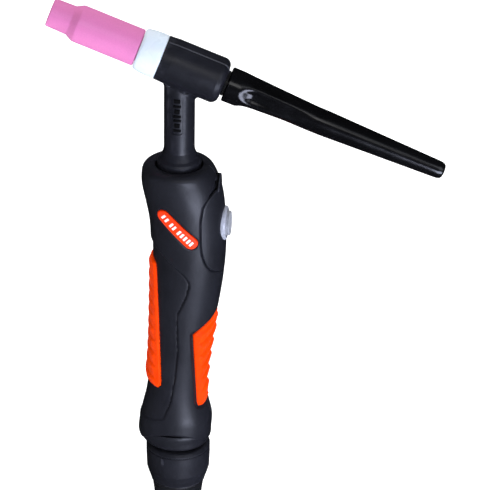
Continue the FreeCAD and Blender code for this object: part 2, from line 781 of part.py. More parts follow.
def cable_boot():
    """Tapered rubber boot with raised rings, its spigot clamped in the collar."""
    profile = [
        (CABLE_R + 0.05, BALL_NECK_BOTTOM - 0.2),
        (BALL_NECK_R - 0.1, BALL_NECK_BOTTOM - 0.2),
        (BALL_NECK_R - 0.1, COLLAR_BOTTOM - 0.1),
        (13.6, COLLAR_BOTTOM - 0.1),
        (13.9, COLLAR_BOTTOM - 0.8),
        (13.6, COLLAR_BOTTOM - 1.6),
    ]
    taper_top = COLLAR_BOTTOM - 2.4
    rings = 7
    pitch = (taper_top - BOOT_BOTTOM - 4.0) / rings
    for ring in range(rings):
        high = taper_top - ring * pitch
        radius = 13.2 + (BOOT_END_R - 13.2) * ring / rings
        slope = (13.2 - BOOT_END_R) / rings
        profile.append((radius, high))
        profile.append((radius - 0.75 * slope, high - 0.72 * pitch))
        profile.append((radius - 0.75 * slope - 0.7, high - 0.78 * pitch))
        profile.append((radius - 0.95 * slope - 0.7, high - 0.94 * pitch))
    profile.append((BOOT_END_R, BOOT_BOTTOM + 4.0))
    profile.append((BOOT_END_R - 0.2, BOOT_BOTTOM + 0.6))
    profile.append((BOOT_END_R - 0.6, BOOT_BOTTOM))
    profile.append((CABLE_R + 0.05, BOOT_BOTTOM))
    return one_solid(turned(profile))


def cable_in_boot():
    """The cable's stretch that tilts with the ball and the boot."""
    return rod(CABLE_R, BOOT_BOTTOM, BALL_Z + 4.0)


# ---- free cable ------------------------------------------------------------------------------------

def rounded_path(points, name):
    """Straight runs joined by tangent arcs, each arc as large as its two runs allow."""
    corners = [Vector(*point) for point in points]
    edges = []
    start = corners[0]
    radii = []
    for before, corner, after in zip(corners, corners[1:], corners[2:]):
        inward = (corner - before).normalize()
        outward = (after - corner).normalize()
        turn = inward.getAngle(outward)
        reach = 0.45 * min((corner - before).Length, (after - corner).Length)
        radius = reach / math.tan(turn / 2)
        radii.append(round(radius, 1))
        first = corner - inward * reach
        last = corner + outward * reach
        middle_direction = (outward - inward).normalize()
        middle = corner + middle_direction * (radius / math.cos(turn / 2) - radius)
        edges.append(Part.LineSegment(start, first).toShape())
        edges.append(Part.Arc(first, middle, last).toShape())
        start = last
    edges.append(Part.LineSegment(start, corners[-1]).toShape())
    print(name, "bend radii", radii, "length", round(sum(edge.Length for edge in edges), 1))
    return Part.Wire(edges), edges


def cable_tube(points, name):
    path, edges = rounded_path(points, name)
    start = Vector(*points[0])
    direction = Vector(*points[1]) - start
    section = Part.Wire(Part.makeCircle(CABLE_R, start, direction))
    tube = path.makePipeShell([section], True, False)
    expected = math.pi * CABLE_R ** 2 * path.Length
    print(name, "volume", round(tube.Volume), "section times length", round(expected), tube.isValid())
    return tube


def cable_coil():
    """Outer shape of the wound cable: a ring four turns high and two wide."""
    inner = COIL_RADII[0] - CABLE_R
    outer = COIL_RADII[1] + CABLE_R
    edge = 3.0
    profile = (
        (inner + edge, FLOOR_Z),
        (outer - edge, FLOOR_Z),
        (outer, FLOOR_Z + edge),
        (outer, COIL_TOP - edge),
        (outer - edge, COIL_TOP),
        (inner + edge, COIL_TOP),
        (inner, COIL_TOP - edge),
        (inner, FLOOR_Z + edge),
    )
    return turned(profile, Placement(Vector(COIL_CENTRE[0], COIL_CENTRE[1], 0), Rotation()))


def coil_ties():
    """Two hook-and-loop straps round the coil."""
    inside = COIL_RADII[0] - CABLE_R - 1.0
    width = COIL_RADII[1] + CABLE_R + 0.2 - inside
    height = COIL_TOP - FLOOR_Z
    corner = Vector(inside, -TIE_WIDTH / 2, FLOOR_Z)
    outer_corner = Vector(inside - TIE_THICKNESS, -TIE_WIDTH / 2, FLOOR_Z)
    ties = []
    for angle in TIE_ANGLES_DEG:
        hole = Part.makeBox(width, TIE_WIDTH, height, corner)
        strap = Part.makeBox(width + 2 * TIE_THICKNESS, TIE_WIDTH, height + TIE_THICKNESS, outer_corner)
        strap = strap.cut(hole)
        strap.rotate(Vector(0, 0, 0), Z_UP, angle)
        strap.translate(Vector(COIL_CENTRE[0], COIL_CENTRE[1], 0))
        ties.append(strap)
    return Part.makeCompound(ties)


# ---- connector ---------------------------------------------------------------------------------------

PLUG = Placement(Vector(PLUG_X, PLUG_SLEEVE_Y, PLUG_Z), Rotation(Z_UP, Vector(0, -1, 0)))
PLUG_BODY_START = PLUG_SLEEVE_LENGTH
PLUG_BODY_END = PLUG_BODY_START + PLUG_BODY_LENGTH


def plug_sleeve():
    """Rubber sleeve behind the connector."""
    profile = (
        (CABLE_R + 0.05, 0.0),
        (7.6, 0.0),
        (8.2, 1.0),
        (10.4, PLUG_BODY_START - 0.1),
        (CABLE_R + 0.05, PLUG_BODY_START - 0.1),
    )
    return turned(profile, PLUG)


def plug_body():
    """Insulating body of the connector, with grip grooves round it."""
    profile = [(PLUG_PIN_R, PLUG_BODY_START), (11.8, PLUG_BODY_START), (13.6, PLUG_BODY_START + 2.5)]
    grooves = 5
    for groove in range(grooves):
        start = PLUG_BODY_START + 8.0 + 4.5 * groove
        profile.append((PLUG_R, start))
        profile.append((PLUG_R, start + 2.8))
        profile.append((PLUG_R - 0.9, start + 3.2))
        profile.append((PLUG_R - 0.9, start + 4.1))
    profile.append((PLUG_R, PLUG_BODY_END - 8.0))
    profile.append((PLUG_R - 0.4, PLUG_BODY_END))
    profile.append((PLUG_PIN_R, PLUG_BODY_END))
    return one_solid(turned(profile, PLUG))


def plug_pin():
    """Brass bayonet pin: a clamped shank, a shoulder with a locking lug, a round nose drilled for gas."""
    tip = PLUG_BODY_END + PLUG_PIN_LENGTH
    profile = (
        (2.0, PLUG_BODY_START + 6.0),
        (PLUG_PIN_R, PLUG_BODY_START + 6.0),
        (PLUG_PIN_R, PLUG_BODY_END),
        (PLUG_SHOULDER_R, PLUG_BODY_END),
        (PLUG_SHOULDER_R, PLUG_BODY_END + PLUG_SHOULDER_LENGTH),
        (PLUG_PIN_R, PLUG_BODY_END + PLUG_SHOULDER_LENGTH),
        (PLUG_PIN_R, tip - 1.2),
        (PLUG_PIN_R - 1.2, tip),
        (2.0, tip),
    )
    pin = turned(profile)
    lug = Part.makeBox(3.2, 4.0, 5.0, Vector(-1.6, PLUG_SHOULDER_R - 1.8, PLUG_BODY_END + 0.5))
    pin = pin.fuse(lug)
    pin.Placement = PLUG
    return one_solid(pin)


def plug_cable_end():
    """The cable's last stretch, held in the connector's sleeve and pin."""
    return rod(CABLE_R, 0.0, PLUG_BODY_START + 6.0).transformGeometry(PLUG.toMatrix())


def build():
    outer = handle_form(0.0)
    front_pad = pad(FRONT_PAD_OUTLINE)
    rear_pad = pad(REAR_PAD_OUTLINE)
    badge_near = badge(-1)
    badge_far = badge(1)
    near, far = handle_halves(outer)
    return {
        "nozzle": nozzle(),
        "cup_insulator": cup_insulator(),
        "head_cover": head_cover(),
        "head_core": head_core(),
        "neck_tube": neck_tube(),
        "collet_body": collet_body(),
        "collet": collet(),
        "electrode": electrode(),
        "back_cap": back_cap(),
        "back_cap_o_ring": back_cap_o_ring(),
        "handle_near": near,
        "handle_far": far,
        "front_grip_pad": front_pad,
        "rear_grip_pad": rear_pad,
        "badge_near": badge_near,
        "badge_far": badge_far,
        "switch_cover": switch_cover(outer),
        "button_bezel": button_bezel(),
        "push_button": button(),
        "button_spring": button_spring(),
        "switch_body": switch_body(),
        "switch_plunger": switch_plunger(),
        "switch_board": switch_board(),
        "switch_terminals": switch_terminals(),
        "switch_wires": switch_wires(),
        "handle_screws": handle_screws(),
        "power_adapter": power_adapter(),
        "inner_hose": hose(),
        "hose_ferrule": hose_ferrule(),
        "end_ring": end_ring(),
        "swivel_ball": swivel_ball(),
        "swivel_collar": swivel_collar(),
        "cable_boot": cable_boot(),
        "boot_cable": cable_in_boot(),
        "cable_run": cable_tube(CABLE_RUN, "cable_run"),
        "cable_coil": cable_coil(),
        "cable_tail": cable_tube(CABLE_TAIL, "cable_tail"),
        "coil_ties": coil_ties(),
        "plug_sleeve": plug_sleeve(),
        "plug_body": plug_body(),
        "plug_pin": plug_pin(),
        "plug_cable_end": plug_cable_end(),
    }


os.makedirs("parts", exist_ok=True)
for name, shape in build().items():
    if not shape.isValid():
        print("not valid:", name)
    shape.exportStep("parts/" + name + ".step")
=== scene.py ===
import bpy
import bmesh
import json
import math
import numpy as np
from mathutils import Matrix, Vector


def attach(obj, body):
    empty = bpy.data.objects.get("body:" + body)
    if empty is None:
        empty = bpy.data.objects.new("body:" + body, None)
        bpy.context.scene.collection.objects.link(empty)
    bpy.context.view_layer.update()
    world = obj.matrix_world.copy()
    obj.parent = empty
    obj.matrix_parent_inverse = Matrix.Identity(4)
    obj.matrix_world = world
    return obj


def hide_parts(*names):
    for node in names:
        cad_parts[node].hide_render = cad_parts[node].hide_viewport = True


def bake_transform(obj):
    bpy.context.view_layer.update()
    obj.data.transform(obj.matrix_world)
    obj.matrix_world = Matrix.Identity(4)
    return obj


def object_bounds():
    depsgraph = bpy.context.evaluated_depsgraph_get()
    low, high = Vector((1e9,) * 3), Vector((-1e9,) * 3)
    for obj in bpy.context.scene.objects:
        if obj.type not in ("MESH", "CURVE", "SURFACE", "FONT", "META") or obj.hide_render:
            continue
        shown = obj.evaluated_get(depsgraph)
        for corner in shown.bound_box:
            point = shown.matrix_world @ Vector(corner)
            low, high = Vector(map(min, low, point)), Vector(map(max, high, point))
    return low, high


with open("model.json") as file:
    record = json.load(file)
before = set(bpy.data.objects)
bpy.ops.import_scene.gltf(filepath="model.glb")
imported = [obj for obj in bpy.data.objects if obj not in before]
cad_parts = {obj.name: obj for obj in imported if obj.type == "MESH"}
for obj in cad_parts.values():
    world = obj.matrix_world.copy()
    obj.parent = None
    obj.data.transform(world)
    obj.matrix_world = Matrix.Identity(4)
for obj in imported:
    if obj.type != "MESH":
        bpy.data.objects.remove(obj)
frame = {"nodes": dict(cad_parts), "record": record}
CAD_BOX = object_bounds()
NODES = frame["nodes"]
MM = 0.001

# Numbers shared by several pieces, in mm unless named otherwise.
CAMERA_PLACE_M = (0.2094, -1.3381, 0.7858)
HEAD_CENTRE_M = (0.0, 0.0, 0.1345)
HEAD_TILT_DEG = 20.0
NECK_R = 7.15
COIL_X, COIL_Y, COIL_Z = 60.0, 65.0, -294.0
COIL_INNER_R, COIL_OUTER_R = 60.0, 72.0
CABLE_R = 6.0
PLUG_PLACE_M = (0.114, 0.0565, -0.2732)
CAP_BAND_END, CAP_BAND_R = 31.6, 8.66
CAP_TAPER, CAP_TAPER_RUN = 2.26, 39.0
CAP_PHASE = math.radians(29.0)
BADGE_X, BADGE_Z = 1.6, 52.0
BADGE_TURN = math.radians(-44.6)
BADGE_HALF_RUN, BADGE_R = 9.7, 3.4
BUTTON_Z = 49.5
WALL = 1.3


# ---- camera ------------------------------------------------------------------------------------

def add_camera():
    """The photograph's viewpoint."""
    azimuth, elevation, roll = math.radians(7.5), math.radians(29.0), math.radians(0.894)
    level = Vector((math.cos(azimuth), math.sin(azimuth), 0.0))
    forward = Vector((
        -math.sin(azimuth) * math.cos(elevation),
        math.cos(azimuth) * math.cos(elevation),
        -math.sin(elevation),
    ))
    up = level.cross(forward)
    right = math.cos(roll) * level + math.sin(roll) * up
    top = math.cos(roll) * up - math.sin(roll) * level
    data = bpy.data.cameras.new("camera")
    data.sensor_width = 36.0
    data.lens = 228.1
    data.clip_end = 20.0
    camera = bpy.data.objects.new("camera", data)
    bpy.context.scene.collection.objects.link(camera)
    camera.matrix_world = Matrix.Translation(CAMERA_PLACE_M) @ Matrix(
        (right, top, -forward)
    ).transposed().to_4x4()
    bpy.context.scene.camera = camera


add_camera()


# ---- helpers -----------------------------------------------------------------------------------

def new_mesh(name, vertices, faces, material, smooth_angle=40.0):
    """A piece with its doubled points merged, and its edges smooth below an angle in degrees."""
    mesh = bpy.data.meshes.new(name)
    mesh.from_pydata([tuple(v) for v in vertices], [], [tuple(f) for f in faces])
    work = bmesh.new()
    work.from_mesh(mesh)
    bmesh.ops.remove_doubles(work, verts=work.verts, dist=2e-6)
    loose = [v for v in work.verts if not v.link_faces]
    bmesh.ops.delete(work, geom=loose, context="VERTS")
    bmesh.ops.recalc_face_normals(work, faces=work.faces)
    work.to_mesh(mesh)
    work.free()
    mesh.shade_smooth()
    mesh.set_sharp_from_angle(angle=math.radians(smooth_angle))
    mesh.materials.append(material)
    piece = bpy.data.objects.new(name, mesh)
    bpy.context.scene.collection.objects.link(piece)
    return piece


def settle(piece, body, slot, *nodes):
    """The piece rides on its body and stands for its CAD nodes."""
    if nodes:
        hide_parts(*nodes)
    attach(piece, body)
    return piece


def soften(piece, width, segments=2, angle=24.0):
    """Rounds the edges that are sharper than the angle."""
    modifier = piece.modifiers.new("soft_edges", "BEVEL")
    modifier.width = width * MM
    modifier.segments = segments
    modifier.limit_method = "ANGLE"
    modifier.angle_limit = math.radians(angle)
    modifier.harden_normals = False
    return piece


def grid_faces(rows, columns, wrap_rows=False, wrap_columns=False):
    """The faces of a grid of points, row by row."""
    faces = []
    for r in range(rows if wrap_rows else rows - 1):
        for c in range(columns if wrap_columns else columns - 1):
            r2, c2 = (r + 1) % rows, (c + 1) % columns
            faces.append((r * columns + c, r * columns + c2, r2 * columns + c2, r2 * columns + c))
    return faces


def lathe(name, profile, place, material, around=96, closed=False, shape=None, smooth_angle=40.0):
    """A turned piece from (radius, height) in mm; shape(radius, height, angle) may change the radius."""
    vertices = []
    for radius, height in profile:
        for step in range(around):
            angle = 2 * math.pi * step / around
            r = shape(radius, height, angle) if shape else radius
            vertices.append(place @ Vector((r * math.cos(angle) * MM, r * math.sin(angle) * MM, height * MM)))
    faces = grid_faces(len(profile), around, closed, True)
    return new_mesh(name, vertices, faces, material, smooth_angle)


def rounded(profile, radius, closed=True, steps=3):
    """The profile with its corners rounded by short arcs."""
    out = []
    count = len(profile)
    for i, corner in enumerate(profile):
        corner = Vector(corner)
        if not closed and i in (0, count - 1):
            out.append(tuple(corner))
            continue
        before, after = Vector(profile[i - 1]), Vector(profile[(i + 1) % count])
        reach = min(radius, 0.4 * (before - corner).length, 0.4 * (after - corner).length)
        first = corner + (before - corner).normalized() * reach
        last = corner + (after - corner).normalized() * reach
        for step in range(steps + 1):
            t = step / steps
            out.append(tuple((1 - t) ** 2 * first + 2 * t * (1 - t) * corner + t * t * last))
    return out


TILT = math.radians(HEAD_TILT_DEG)
AXIS = Vector((-math.cos(TILT), 0.0, math.sin(TILT)))
HEAD = Matrix(
    (Vector((math.sin(TILT), 0.0, math.cos(TILT))), Vector((0.0, 1.0, 0.0)), AXIS)
).transposed().to_4x4()
HEAD = Matrix.Translation(HEAD_CENTRE_M) @ HEAD


# ---- materials ---------------------------------------------------------------------------------

def surface(
    name, colour, roughness, variation=0.12, patch=45.0, grain=1600.0, bump=0.15, bump_depth=0.00008,
    metallic=0.0, coat=0.0, specular=0.5, rough_spread=0.12, tint=None, wear=0.0, wear_colour=None,
    speckle=0.86,
    subsurface=0.0, stripes=None,
):
    """A procedural finish: patchy colour, speckle, uneven roughness, fine grain in relief, and worn edges."""
    material = bpy.data.materials.new(name)
    material.use_nodes = True
    tree = material.node_tree
    nodes, links = tree.nodes, tree.links
    shader = nodes["Principled BSDF"]
    shader.inputs["Metallic"].default_value = metallic
    shader.inputs["Coat Weight"].default_value = coat
    shader.inputs["Coat Roughness"].default_value = 0.08
    shader.inputs["Specular IOR Level"].default_value = specular
    if subsurface:
        shader.inputs["Subsurface Weight"].default_value = subsurface
        shader.inputs["Subsurface Radius"].default_value = (0.0012, 0.0009, 0.0010)
    coords = nodes.new("ShaderNodeTexCoord")

    def noise(scale, detail=3.0, rough=0.55):
        node = nodes.new("ShaderNodeTexNoise")
        node.inputs["Scale"].default_value = scale
        node.inputs["Detail"].default_value = detail
        node.inputs["Roughness"].default_value = rough
        links.new(coords.outputs["Object"], node.inputs["Vector"])
        return node.outputs["Fac"]

    def ramp(factor, low, high, start=0.3, end=0.7):
        node = nodes.new("ShaderNodeValToRGB")
        node.color_ramp.elements[0].position = start
        node.color_ramp.elements[1].position = end
        node.color_ramp.elements[0].color = (*low, 1.0)
        node.color_ramp.elements[1].color = (*high, 1.0)
        links.new(factor, node.inputs["Fac"])
        return node.outputs["Color"]

    def mix(factor, a, b, kind="MIX"):
        node = nodes.new("ShaderNodeMix")
        node.data_type = "RGBA"
        node.blend_type = kind
        for socket, value in ((0, factor), (6, a), (7, b)):
            if isinstance(value, (int, float)):
                node.inputs[socket].default_value = value
            elif isinstance(value, tuple):
                node.inputs[socket].default_value = (*value, 1.0)
            else:
                links.new(value, node.inputs[socket])
        return node.outputs[2]

    dark = tuple(c * (1 - variation) for c in colour)
    light = tuple(min(1.0, c * (1 + variation)) for c in (tint or colour))
    patches = ramp(noise(patch), dark, light)
    grains = ramp(noise(grain * 0.6, 2.0), (speckle,) * 3, (1.0, 1.0, 1.0), 0.35, 0.6)
    shade = mix(1.0, patches, grains, "MULTIPLY")
    if wear:
        geometry = nodes.new("ShaderNodeNewGeometry")
        edge = ramp(geometry.outputs["Pointiness"], (0.0, 0.0, 0.0), (1.0, 1.0, 1.0), 0.52, 0.60)
        scuffs = ramp(noise(260.0, 4.0), (0.0, 0.0, 0.0), (wear, wear, wear), 0.42, 0.62)
        worn = mix(1.0, edge, scuffs, "MULTIPLY")
        shade = mix(worn, shade, wear_colour or tuple(min(1.0, 3.2 * c + 0.02) for c in colour))
    links.new(shade, shader.inputs["Base Color"])
    spread = nodes.new("ShaderNodeMapRange")
    spread.inputs["From Min"].default_value = 0.3
    spread.inputs["From Max"].default_value = 0.7
    spread.inputs["To Min"].default_value = max(0.02, roughness - rough_spread / 2)
    spread.inputs["To Max"].default_value = min(1.0, roughness + rough_spread / 2)
    links.new(noise(patch * 3.1, 5.0), spread.inputs["Value"])
    links.new(spread.outputs["Result"], shader.inputs["Roughness"])
    relief = nodes.new("ShaderNodeBump")
    relief.inputs["Strength"].default_value = bump
    relief.inputs["Distance"].default_value = bump_depth
    height = noise(grain, 3.0)
    if stripes:
        wave = nodes.new("ShaderNodeTexWave")
        wave.wave_type = "BANDS"
        wave.bands_direction = stripes[0]
        wave.inputs["Scale"].default_value = stripes[1]
        wave.inputs["Distortion"].default_value = stripes[2]
        links.new(coords.outputs["Object"], wave.inputs["Vector"])
        add = nodes.new("ShaderNodeMath")
        add.operation = "ADD"
        links.new(height, add.inputs[0])
        links.new(wave.outputs["Fac"], add.inputs[1])
        height = add.outputs["Value"]
    links.new(height, relief.inputs["Height"])
    links.new(relief.outputs["Normal"], shader.inputs["Normal"])
    return material


FINISH = {
    "alumina_pink": surface(
        "alumina_pink", (0.66, 0.190, 0.425), 0.38, 0.05, 30.0, 2600.0, 0.06, subsurface=0.15, specular=0.45,
        speckle=0.95
    ),
    "ptfe_white": surface(
        "ptfe_white", (0.68, 0.755, 0.84), 0.28, 0.02, 25.0, 500.0, 0.02, subsurface=0.3, speckle=0.98
    ),
    "head_black": surface(
        "head_black", (0.010, 0.0105, 0.015), 0.40, 0.25, 60.0, 1500.0, 0.30, specular=0.30, wear=0.4
    ),
    "brass": surface("brass", (0.70, 0.48, 0.20), 0.28, 0.12, 90.0, 900.0, 0.08, metallic=1.0),
    "copper": surface("copper", (0.70, 0.34, 0.20), 0.32, 0.18, 80.0, 900.0, 0.08, metallic=1.0),
    "tungsten": surface("tungsten", (0.42, 0.42, 0.45), 0.30, 0.12, 120.0, 2400.0, 0.12, metallic=1.0),
    "cap_black": surface(
        "cap_black", (0.003, 0.003, 0.0035), 0.19, 0.30, 40.0, 300.0, 0.05, 0.00005, specular=0.35,
        rough_spread=0.06
    ),
    "seal_rubber": surface("seal_rubber", (0.02, 0.02, 0.021), 0.30, 0.2, 80.0, 900.0, 0.05),
    # Painted highlight: the head's parting ridges are a lighter grey than the black head so that they read as
    # a thin lit line.
    "seam_painted_highlight": surface("seam_painted_highlight", (0.045, 0.046, 0.055), 0.40, 0.20, 60.0, 1500.0, 0.20, specular=0.35),
    "handle_black": surface(
        "handle_black", (0.011, 0.0115, 0.016), 0.42, 0.22, 50.0, 1700.0, 0.32, specular=0.32, wear=0.4
    ),
    "grip_orange": surface(
        "grip_orange", (0.82, 0.043, 0.0003), 0.44, 0.07, 55.0, 1300.0, 0.12, specular=0.03,
        tint=(0.88, 0.055, 0.0005)
    ),
    "badge_red": surface("badge_red", (0.95, 0.038, 0.001), 0.34, 0.05, 70.0, 700.0, 0.06, specular=0.15),
    "badge_white": surface("badge_white", (0.86, 0.84, 0.80), 0.4, 0.05, 200.0, 1500.0, 0.08),
    "button_grey": surface("button_grey", (0.34, 0.355, 0.41), 0.38, 0.08, 70.0, 1500.0, 0.14),
    "button_cap_grey": surface("button_cap_grey", (0.30, 0.31, 0.34), 0.32, 0.08, 90.0, 1500.0, 0.14),
    # Near-black used twice: painted shade filling the gap behind the switch-cover lip, and the dark colour of
    # the neck label's bars.
    "gap_shade_and_label_black": surface("gap_shade_and_label_black", (0.0022, 0.0022, 0.0026), 0.8, 0.2, 90.0, 1500.0, 0.1, specular=0.1),
    "steel": surface("steel", (0.56, 0.56, 0.57), 0.28, 0.12, 100.0, 1500.0, 0.1, metallic=1.0),
    "switch_plastic": surface("switch_plastic", (0.04, 0.04, 0.05), 0.35, 0.2, 90.0, 1400.0, 0.15),
    "board": surface("board", (0.03, 0.16, 0.07), 0.35, 0.15, 150.0, 900.0, 0.1, coat=0.3),
    "wire": surface("wire", (0.45, 0.03, 0.025), 0.4, 0.12, 90.0, 800.0, 0.05),
    "rubber_black": surface(
        "rubber_black", (0.009, 0.009, 0.011), 0.5, 0.25, 55.0, 1500.0, 0.25, specular=0.35
    ),
    "cable_sheath": surface(
        "cable_sheath", (0.012, 0.012, 0.014), 0.5, 0.25, 35.0, 1300.0, 0.2, specular=0.4
    ),
    "tie_fabric": surface(
        "tie_fabric", (0.02, 0.02, 0.021), 0.9, 0.25, 300.0, 2000.0, 0.6, 0.0002, stripes=("Z", 420.0, 1.5)
    ),
}
for part in frame["record"]["subparts"]:
    node = NODES[part["node"]]
    node.data.materials.clear()
    node.data.materials.append(FINISH[part["material_slot"]])


# ---- free cable: boot to coil to connector -------------------------------------------------------

RUN = ((0.0, 0.0, -150.5), (0.0, 0.0, -196.0), (0.0, 0.0, -241.3), (0.0, 19.3, -274.7), (0.0, 52.7, -294.0))
TAIL = (
    (-5.2, 98.0, -287.5), (10.4, 118.8, -283.5), (33.5, 131.6, -281.0), (59.7, 133.9, -279.6),
    (84.7, 125.3, -277.6), (103.9, 107.4, -275.2), (114.0, 83.1, -273.5), (114.0, 56.5, -273.2),
    (114.0, 52.0, -273.2),
)


# The coil, in degrees turned: where each drop and each rise begins, and how long one takes.
FIRST_TURNED, LAST_TURNED, TURN_STEP = 11.25, 2535.0, 22.5
DROPS = (200.0, 560.0, 920.0)
RISES = (1400.0, 1760.0, 2120.0, 2480.0)
LAYER_STEP = 120.0
# A NURBS line runs inside its control points, so they stand this much further out.
PULL = 0.981


def ease(t):
    t = min(max(t, 0.0), 1.0)
    return t * t * (3 - 2 * t)


def coil_turns():
    """The inner column wound downwards, the outer column back up, sixteen points a turn."""
    points = []
    turned = FIRST_TURNED
    while turned < LAST_TURNED:
        down = sum(ease((turned - start) / LAYER_STEP) for start in DROPS)
        up = sum(ease((turned - start) / LAYER_STEP) for start in RISES)
        radius = COIL_INNER_R + (COIL_OUTER_R - COIL_INNER_R) * ease((turned - 1170.0) / 100.0)
        if turned > 2420.0:
            radius += 3.5 * math.sin(math.pi * (turned - 2420.0) / 140.0) ** 2
        pull = radius / PULL
        angle = math.radians(180.0 - turned)
        x, y = COIL_X + pull * math.cos(angle), COIL_Y + pull * math.sin(angle)
        points.append((x, y, COIL_Z + 2 * CABLE_R * (up - down)))
        turned += TURN_STEP
    return points


def spline_points(name, controls):
    """Points along a smooth NURBS line through the route."""
    curve = bpy.data.curves.new(name, "CURVE")
    curve.dimensions = "3D"
    curve.resolution_u = 8
    line = curve.splines.new("NURBS")
    line.points.add(len(controls) - 1)
    for point, place in zip(line.points, controls):
        point.co = (place[0] * MM, place[1] * MM, place[2] * MM, 1.0)
    line.order_u = 3
    line.use_endpoint_u = True
    carrier = bpy.data.objects.new(name, curve)
    bpy.context.scene.collection.objects.link(carrier)
    bpy.context.view_layer.update()
    mesh = bpy.data.meshes.new_from_object(carrier)
    points = [v.co.copy() for v in mesh.vertices]
    bpy.data.objects.remove(carrier)
    bpy.data.meshes.remove(mesh)
    bpy.data.curves.remove(curve)
    return points


def tube(name, path, radius, material, around=20):
    """A round tube along the points, closed at both ends."""
    side = Vector((0.0, 1.0, 0.0))
    vertices = []
    for i, point in enumerate(path):
        along = (path[min(i + 1, len(path) - 1)] - path[max(i - 1, 0)]).normalized()
        side = (side - along * side.dot(along)).normalized()
        other = along.cross(side)
        for step in range(around):
            angle = 2 * math.pi * step / around
            vertices.append(point + radius * (math.cos(angle) * side + math.sin(angle) * other))
    faces = grid_faces(len(path), around, False, True)
    faces.append(tuple(range(around)))
    faces.append(tuple(range(len(vertices) - around, len(vertices))))
    return new_mesh(name, vertices, faces, material, 60.0)


cable_line = spline_points("cable_line", RUN + tuple(coil_turns()) + TAIL)
cable = tube("torch_cable", cable_line, CABLE_R * MM, FINISH["cable_sheath"])
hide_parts("cable_run", "cable_coil", "cable_tail")
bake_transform(cable)


def coil_strap(name, angle_deg):
    """A hook-and-loop strap round the bundle of turns, with its free end lapped over the top."""
    low, high, floor, top = 52.9, 79.3, -335.7, -286.9
    loop = rounded(((low, floor), (high, floor), (high, top), (low, top)), 5.0, True, 5)
    turn = Matrix.Rotation(math.radians(angle_deg), 4, "Z")
    turn = Matrix.Translation((COIL_X * MM, COIL_Y * MM, 0.0)) @ turn
    centre = Vector(((low + high) / 2, (floor + top) / 2))
    vertices = []
    for r, z in loop:
        inward = (centre - Vector((r, z))).normalized() * 1.1
        for dr, dz, y in ((0, 0, -9.0), (0, 0, 9.0), (inward.x, inward.y, 9.0), (inward.x, inward.y, -9.0)):
            vertices.append(turn @ Vector(((r + dr) * MM, y * MM, (z + dz) * MM)))
    strap = new_mesh(name, vertices, grid_faces(len(loop), 4, True, True), FINISH["tie_fabric"], 50.0)
    lap = []
    for step in range(9):
        r = low + 4.0 + step * 2.0
        for y in (-8.6, 8.6):
            lap.append(turn @ Vector((r * MM, y * MM, (top + 0.55 + (0.5 if step == 8 else 0.0)) * MM)))
    flap = new_mesh(name + "_flap", lap, grid_faces(9, 2), FINISH["tie_fabric"], 50.0)
    thick = flap.modifiers.new("thickness", "SOLIDIFY")
    thick.thickness = 0.9 * MM
    thick.offset = 0.0
    return strap, flap


straps = []
for index, angle in enumerate((235.0, 285.0)):
    strap, flap = coil_strap(f"coil_strap_{index + 1}", angle)
    settle(strap, "torch", "tie_fabric", "coil_ties")
    settle(flap, "torch", "tie_fabric")
    straps += [strap, flap]


# ---- connector -----------------------------------------------------------------------------------

PLUG = Matrix((Vector((1, 0, 0)), Vector((0, 0, 1)), Vector((0, -1, 0)))).transposed().to_4x4()
PLUG = Matrix.Translation(PLUG_PLACE_M) @ PLUG


def plug_grip(radius, height, angle):
    """Twelve finger grooves along the connector's body."""
    if radius > 14.3 and 33.0 < height < 58.0:
        return radius - 0.7 * max(0.0, math.cos(12 * angle)) ** 3
    return radius


sleeve_profile = [(6.05, 0.0), (7.4, 0.0), (8.0, 0.9)]
for ring in range(5):
    base = 2.5 + 4.4 * ring
    sleeve_profile += [
        (8.1 + 0.42 * ring, base), (8.5 + 0.42 * ring, base + 2.6), (7.7 + 0.42 * ring, base + 3.2),
        (7.9 + 0.42 * ring, base + 4.0)
    ]
sleeve_profile += [(10.4, 25.2), (10.4, 25.9), (6.05, 25.9)]
plug_sleeve = lathe(
    "plug_sleeve_rubber", rounded(sleeve_profile, 0.5), PLUG, FINISH["rubber_black"], 64, True
)
settle(plug_sleeve, "torch", "rubber_black", "plug_sleeve")
body_profile = [(6.6, 26.0), (11.8, 26.0), (13.6, 28.5), (14.5, 31.5), (14.5, 33.5)]
body_profile += [(14.5, 34.0 + 1.0 * k) for k in range(24)]
body_profile += [(14.5, 58.5), (14.5, 60.0), (13.9, 61.5), (13.9, 65.4), (13.3, 66.0), (6.6, 66.0)]
plug_body = lathe(
    "plug_body_rubber", rounded(body_profile, 0.4, True, 2), PLUG, FINISH["rubber_black"], 144, True,
    plug_grip
)
settle(plug_body, "torch", "rubber_black", "plug_body")


# ---- head, nozzle and back cap -------------------------------------------------------------------

nozzle_profile = (
    (4.75, 66.8), (5.2, 67.3), (6.6, 67.3), (7.05, 66.7), (7.35, 56.4), (7.6, 55.9), (9.0, 53.3), (9.3, 52.5),
    (9.3, 21.7), (8.7, 21.05), (6.65, 21.05), (6.65, 33.0), (5.8, 36.0), (4.75, 50.0),
)
nozzle = lathe("gas_nozzle", rounded(nozzle_profile, 0.8, True, 4), HEAD, FINISH["alumina_pink"], 128, True)
settle(nozzle, "torch", "alumina_pink", "nozzle")
insulator_profile = (
    (6.7, 14.2), (8.05, 14.2), (8.05, 9.35), (10.9, 9.35), (11.2, 10.0), (11.2, 13.8), (10.95, 16.8),
    (10.55, 19.7), (9.8, 20.9), (6.7, 20.9),
)
insulator = lathe(
    "nozzle_insulator", rounded(insulator_profile, 0.7, True, 4), HEAD, FINISH["ptfe_white"], 128, True
)
settle(insulator, "torch", "ptfe_white", "cup_insulator")


